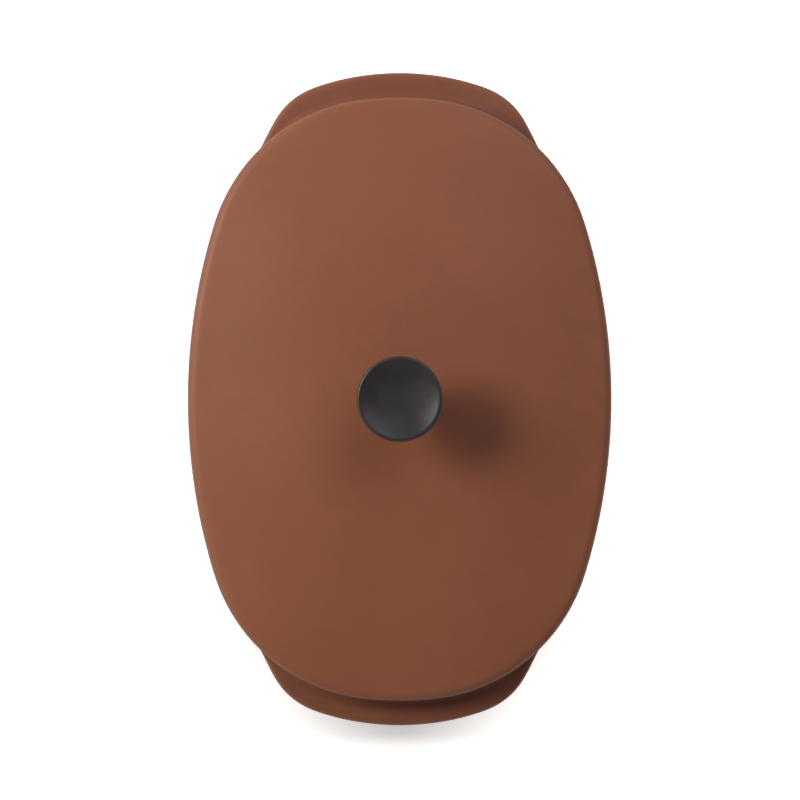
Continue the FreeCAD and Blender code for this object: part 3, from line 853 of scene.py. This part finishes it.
def mark_bends(piece):
    """Stores how sharply the surface bends at each vertex, hollows below zero."""
    mesh = bmesh.new()
    mesh.from_mesh(piece.data)
    mesh.normal_update()
    neighbours = []
    bends = []
    for vertex in mesh.verts:
        beside = [edge.other_vert(vertex) for edge in vertex.link_edges]
        steps = [other.co - vertex.co for other in beside]
        bend = sum(-2 * step.dot(vertex.normal) / step.length_squared for step in steps)
        neighbours.append([other.index for other in beside])
        bends.append(bend / len(steps))
    mesh.free()
    for _ in range(BEND_SOFTENING):
        bends = [
            (bend + sum(bends[place] for place in beside)) / (len(beside) + 1)
            for bend, beside in zip(bends, neighbours)
        ]
    piece.data.attributes.new(BEND, "FLOAT", "POINT").data.foreach_set("value", bends)


def glaze_colour(tree, light, deep, mottle):
    """Cloudy colour, warmer in the mottle, paler over edges where the glaze thins and as a painted
    highlight, darker in hollows, with specks.
    """
    clouds = patches(tree, CLOUD_SIZE, detail=3, low=0.3, high=0.7)
    specks = patches(tree, SPECK_SIZE, detail=1, low=0.68, high=0.8)
    bend = add_node(tree, "Attribute", attribute_name=BEND).outputs["Fac"]
    thin_and_highlight = remap(tree, bend, *THIN_AND_HIGHLIGHT_BENDS)
    pooled = remap(tree, bend, *POOLED_BENDS)
    colour = blend_colours(tree, clouds, deep, light)
    for pattern, most, tint in (
        (mottle, WARM_SHARE, GLAZE_WARM),
        (thin_and_highlight, THIN_AND_HIGHLIGHT_SHARE, GLAZE_THIN_AND_HIGHLIGHT),
        (pooled, POOLED_SHARE, GLAZE_POOLED),
        (specks, SPECK_SHARE, GLAZE_SPECK),
    ):
        colour = blend_colours(tree, fade(tree, pattern, 0, most), colour, tint)
    return colour


def glazed_share(tree, bare_level):
    """1 where the glaze is, and 0 below the wavering line that it is wiped off to."""
    level = add_node(tree, "SeparateXYZ", {"Vector": object_place(tree)}).outputs["Z"]
    wave = noise(tree, WIPE_WAVE_SIZE, detail=3)
    waver = remap(tree, wave, low=0.2, high=0.8, new_low=-WIPE_WAVER, new_high=WIPE_WAVER)
    height = calculate(tree, "ADD", level, waver)
    return remap(tree, height, bare_level - WIPE_FADE, bare_level + WIPE_FADE)


def glaze(name, light, deep, bare_level):
    """Cinnamon satin glaze on pale clay, which shows where the glaze is wiped off."""
    material = start_material(name)
    tree = material.node_tree
    glazed = glazed_share(tree, bare_level)
    bare = calculate(tree, "SUBTRACT", 1, glazed)
    mottle = patches(tree, MOTTLE_SIZE, detail=4, low=0.25, high=0.75)
    grains = patches(tree, CLAY_GRAIN_SIZE, detail=3, low=0.35, high=0.65)
    clay = blend_colours(tree, grains, CLAY_DARK, CLAY_PALE)
    colour = glaze_colour(tree, light, deep, mottle)
    sheen = fade(tree, mottle, *GLAZE_ROUGHNESS)
    peel = bump(tree, noise(tree, PEEL_SIZE, detail=1), PEEL_DEPTH)
    satin = bump(tree, noise(tree, SATIN_SIZE, detail=2), SATIN_DEPTH, Normal=peel)
    inputs = {
        "Base Color": blend_colours(tree, glazed, clay, colour),
        "Roughness": fade(tree, glazed, CLAY_ROUGHNESS, sheen),
        "Normal": bump(tree, grains, CLAY_GRAIN_DEPTH, Strength=bare, Normal=satin),
        "Specular IOR Level": GLAZE_SPECULAR,
        "Coat Weight": GLAZE_COAT,
        "Coat Roughness": GLAZE_COAT_ROUGHNESS,
    }
    return finish_surface(material, inputs)


# Plastic, silicone and metals

PLASTIC_DEEP = srgb(41, 39, 42)
PLASTIC_HAZE = srgb(46, 44, 47)
PLASTIC_HAZE_SIZE = 12 * MM
PLASTIC_ROUGHNESS = (0.36, 0.42)
PLASTIC_SPECULAR = 0.3
PLASTIC_GRAIN_SIZE = 0.35 * MM
PLASTIC_GRAIN_DEPTH = 0.012 * MM

SILICONE_DARK = srgb(60, 60, 62)
SILICONE_BLOOM = srgb(78, 77, 78)
SILICONE_BLOOM_SIZE = 3 * MM
SILICONE_BLOOM_DEPTH = 0.02 * MM
SILICONE_ROUGHNESS = 0.62

STEEL = srgb(196, 195, 192)
STEEL_ROUGHNESS = 0.28
BRASS = srgb(214, 178, 104)
BRASS_ROUGHNESS = 0.25
SMUDGE_SIZE = 4 * MM
SMUDGE_ROUGHNESS = 0.1
TURNED_LINE_SIZE = 0.9 * MM
TURNED_LINE_WAVER = 0.6
TURNED_LINE_DEPTH = 0.006 * MM


def moulded_plastic():
    """Charcoal heat-resistant plastic with a fine spark-eroded grain."""
    material = start_material("charcoal_plastic")
    tree = material.node_tree
    haze = patches(tree, PLASTIC_HAZE_SIZE, detail=2, low=0.3, high=0.7)
    grain = noise(tree, PLASTIC_GRAIN_SIZE, detail=2)
    inputs = {
        "Base Color": blend_colours(tree, haze, PLASTIC_DEEP, PLASTIC_HAZE),
        "Roughness": fade(tree, haze, *PLASTIC_ROUGHNESS),
        "Normal": bump(tree, grain, PLASTIC_GRAIN_DEPTH),
        "Specular IOR Level": PLASTIC_SPECULAR,
    }
    return finish_surface(material, inputs)


def silicone():
    """Dark grey silicone of the two gaskets, with a powdery bloom."""
    material = start_material("gasket_silicone")
    tree = material.node_tree
    bloom = patches(tree, SILICONE_BLOOM_SIZE, detail=3, low=0.35, high=0.7)
    inputs = {
        "Base Color": blend_colours(tree, bloom, SILICONE_DARK, SILICONE_BLOOM),
        "Roughness": SILICONE_ROUGHNESS,
        "Normal": bump(tree, bloom, SILICONE_BLOOM_DEPTH),
    }
    return finish_surface(material, inputs)


def turned_metal(name, colour, roughness):
    """Metal with the fine concentric lines that turning leaves round the Z axis."""
    material = start_material(name)
    tree = material.node_tree
    inputs = {
        "Vector": object_place(tree),
        "Scale": 1 / TURNED_LINE_SIZE,
        "Distortion": TURNED_LINE_WAVER,
        "Detail": 2,
    }
    lines = add_node(tree, "TexWave", inputs, wave_type="RINGS", rings_direction="Z").outputs["Fac"]
    smudge = noise(tree, SMUDGE_SIZE, detail=3)
    rougher = roughness + SMUDGE_ROUGHNESS
    inputs = {
        "Base Color": colour,
        "Metallic": 1,
        "Roughness": remap(tree, smudge, low=0.3, high=0.7, new_low=roughness, new_high=rougher),
        "Normal": bump(tree, lines, TURNED_LINE_DEPTH),
    }
    return finish_surface(material, inputs)


# The object's pieces, each on the body that carries it


def dress(piece, body, material, node):
    """Finishes a new piece and puts it on its body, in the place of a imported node."""
    piece.data.materials.append(material)
    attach(piece, body)
    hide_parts(node)


def dress_node(name, material):
    """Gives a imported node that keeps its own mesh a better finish."""
    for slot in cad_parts[name].material_slots:
        slot.material = material


rubber = silicone()
steel = turned_metal("stainless_steel", STEEL, STEEL_ROUGHNESS)

dish = make_dish()
mark_bends(dish)
# The dish glaze's darker colours are painted shade for the lugs under the lid
dish_glaze = glaze("dish_glaze", DISH_GLAZE_SHADED_LIGHT, DISH_GLAZE_SHADED_DEEP, BARE_FOOT_LEVEL)
dress(dish, "dish", dish_glaze, "dish")

lid = make_lid()
mark_bends(lid)
lid_glaze = glaze("lid_glaze", LID_GLAZE_LIGHT, LID_GLAZE_DEEP, BARE_FLANGE_LEVEL)
dress(lid, "lid", lid_glaze, "lid")

dress(make_knob(), "lid", moulded_plastic(), "knob")
for name, node, bore, edge, slot, material in (
    ("seat_gasket", "knob_seat_gasket", SCREW_HOLE_RADIUS, GASKET_EDGE, "gasket_rubber", rubber),
    ("lower_gasket", "knob_lower_gasket", SCREW_HOLE_RADIUS, GASKET_EDGE, "gasket_rubber", rubber),
    ("plain_washer", "knob_washer", WASHER_BORE_RADIUS, WASHER_EDGE, "stainless_steel", steel),
):
    dress(make_ring(name, node, bore, edge), "lid", material, node)
dress_node("knob_screw", steel)
dress_node("knob_insert", turned_metal("turned_brass", BRASS, BRASS_ROUGHNESS))


# Floor and world

FLOOR_SIZE = 12
FLOOR_COLOUR = (0.5, 0.495, 0.485, 1)
FLOOR_COLOUR_SEEN = (0.92, 0.9, 0.87, 1)

# Light that the floor adds near the object, for the camera and in gloss, and the distances
# between which it grows to white
FLOOR_GLOW = 0.41
GLOSS_GLOW = 0.05
GLOW_REACH = (0.35, 0.8)

# Even light on the object, and the backdrop that gloss sees: the bearing of its bright side,
# the level of its dim side, the cosines between which it turns bright, and the climbs
# between which it fades
WORLD_LEVEL = 0.17
BRIGHT_SIDE = math.radians(205)
HORIZON_DIM = 0.2
HORIZON_TURN = (-0.9, 0.2)
BACKDROP_CLIMB = (0.2, 0.9)


def mix_shaders(tree, share, first, second):
    return add_node(tree, "MixShader", {0: share, 1: first, 2: second}).outputs["Shader"]


def seen_in_gloss(path):
    """1 for rays from gloss or through a clear piece, and 0 for others."""
    glossy = path.outputs["Is Glossy Ray"]
    return calculate(path.id_data, "MAXIMUM", glossy, path.outputs["Is Transmission Ray"])


def glow_of_floor(tree):
    """Light that the floor adds, for the camera and in gloss, or else the world's level."""
    path = add_node(tree, "LightPath")
    distance = add_node(tree, "VectorMath", {0: object_place(tree)}, operation="LENGTH").outputs["Value"]
    glow = WORLD_LEVEL
    for seen, near_glow in (
        (path.outputs["Is Camera Ray"], FLOOR_GLOW),
        (seen_in_gloss(path), GLOSS_GLOW),
    ):
        growing = remap(tree, distance, *GLOW_REACH, near_glow, 1)
        shown = calculate(tree, "MULTIPLY", seen, growing)
        glow = calculate(tree, "MAXIMUM", shown, glow)
    return glow


def make_floor():
    """Pale floor that shows white where it is lit, keeps the shadow and is open from below."""
    bpy.ops.object.select_all(action="DESELECT")
    bpy.ops.mesh.primitive_plane_add(size=FLOOR_SIZE)
    floor = bpy.context.object
    floor.name = "studio_floor"
    material = start_material("studio_floor")
    tree = material.node_tree
    seen = add_node(tree, "LightPath").outputs["Is Camera Ray"]
    colour = blend_colours(tree, seen, FLOOR_COLOUR, FLOOR_COLOUR_SEEN)
    diffuse = add_node(tree, "BsdfDiffuse", {"Color": colour}).outputs["BSDF"]
    emission = add_node(tree, "Emission", {"Strength": glow_of_floor(tree)}).outputs["Emission"]
    lit = add_node(tree, "AddShader", {0: diffuse, 1: emission}).outputs["Shader"]
    below = add_node(tree, "NewGeometry").outputs["Backfacing"]
    open_side = add_node(tree, "BsdfTransparent").outputs["BSDF"]
    floor.data.materials.append(finish_material(material, mix_shaders(tree, below, lit, open_side)))
    return floor


def background(tree, strength):
    made = add_node(tree, "Background", {"Color": (1, 1, 1, 1), "Strength": strength})
    return made.outputs["Background"]


def light_world():
    """White to the camera, a dim even light on the object, and a horizon that gloss sees."""
    world = bpy.data.worlds.new("studio_world")
    bpy.context.scene.world = world
    world.use_nodes = True
    tree = world.node_tree
    tree.nodes.clear()
    direction = add_node(tree, "TexCoord").outputs["Generated"]
    climb = add_node(tree, "SeparateXYZ", {"Vector": direction}).outputs["Z"]
    bright_side = (math.cos(BRIGHT_SIDE), math.sin(BRIGHT_SIDE), 0)
    facing = add_node(tree, "VectorMath", {0: direction, 1: bright_side}, operation="DOT_PRODUCT")
    horizon = remap(tree, facing.outputs["Value"], *HORIZON_TURN, HORIZON_DIM, 1)
    backdrop = background(tree, remap(tree, climb, *BACKDROP_CLIMB, horizon, WORLD_LEVEL))
    path = add_node(tree, "LightPath")
    unseen = mix_shaders(tree, seen_in_gloss(path), background(tree, WORLD_LEVEL), backdrop)
    surface = mix_shaders(tree, path.outputs["Is Camera Ray"], unseen, background(tree, 1))
    add_node(tree, "OutputWorld", {"Surface": surface})


# Lamps and camera

# How far the lamps stand from the point on the lid that they face
LAMP_DISTANCE = 2.6
LAMP_TARGET = Vector((0, 0, 80 * MM))

# Place of the camera, and its lens and sensor width in millimetres
CAMERA_PLACE = (0.2 * MM, -0.52 * MM, 1.5)
CAMERA_LENS = 116
CAMERA_SENSOR = 36


def add_lamp(name, bearing, elevation, width, height, share, colour):
    """A softbox that faces the lid and gives this share of the light that makes white white."""
    rise = math.sin(elevation)
    level = math.cos(elevation)
    place = LAMP_DISTANCE * Vector((level * math.cos(bearing), level * math.sin(bearing), rise))
    light = bpy.data.lights.new(name, "AREA")
    light.shape = "RECTANGLE"
    light.size = width
    light.size_y = height
    light.color = colour
    # A flat white surface sends back the energy * rise / (pi * distance)**2
    light.energy = share * math.pi**2 * LAMP_DISTANCE**2 / rise
    lamp = bpy.data.objects.new(name, light)
    lamp.location = LAMP_TARGET + place
    lamp.rotation_euler = (-place).to_track_quat("-Z", "Y").to_euler()
    bpy.context.scene.collection.objects.link(lamp)
    return lamp


def light_only(lamp, piece, state):
    """Keeps a lamp off a piece (EXCLUDE), or on that piece alone (INCLUDE)."""
    group = bpy.data.collections.new(lamp.name + "_reach")
    group.objects.link(piece)
    group.collection_objects[0].light_linking.link_state = state
    lamp.light_linking.receiver_collection = group


def add_camera():
    """Looks straight down, with the top of the picture towards +Y."""
    camera = bpy.data.cameras.new("camera")
    camera.sensor_width = CAMERA_SENSOR
    camera.lens = CAMERA_LENS
    holder = bpy.data.objects.new("camera", camera)
    holder.location = CAMERA_PLACE
    bpy.context.scene.collection.objects.link(holder)
    bpy.context.scene.camera = holder


floor = make_floor()
light_world()
key_lamp = add_lamp(
    "key_softbox",
    bearing=math.radians(159),
    elevation=math.radians(38),
    width=1.1,
    height=0.9,
    share=0.61,
    colour=(1, 0.98, 0.84),
)
light_only(key_lamp, floor, "EXCLUDE")
side_lamp = add_lamp(
    "side_softbox",
    bearing=math.radians(52),
    elevation=math.radians(46),
    width=1.8,
    height=1.3,
    share=0.25,
    colour=(0.96, 0.92, 1),
)
light_only(side_lamp, floor, "EXCLUDE")
floor_lamp = add_lamp(
    "floor_softbox",
    bearing=math.radians(90),
    elevation=math.radians(71),
    width=5,
    height=0.85,
    share=2,
    colour=(1, 1, 1),
)
light_only(floor_lamp, floor, "INCLUDE")
add_camera()
bpy.context.scene.view_settings.view_transform = "Standard"
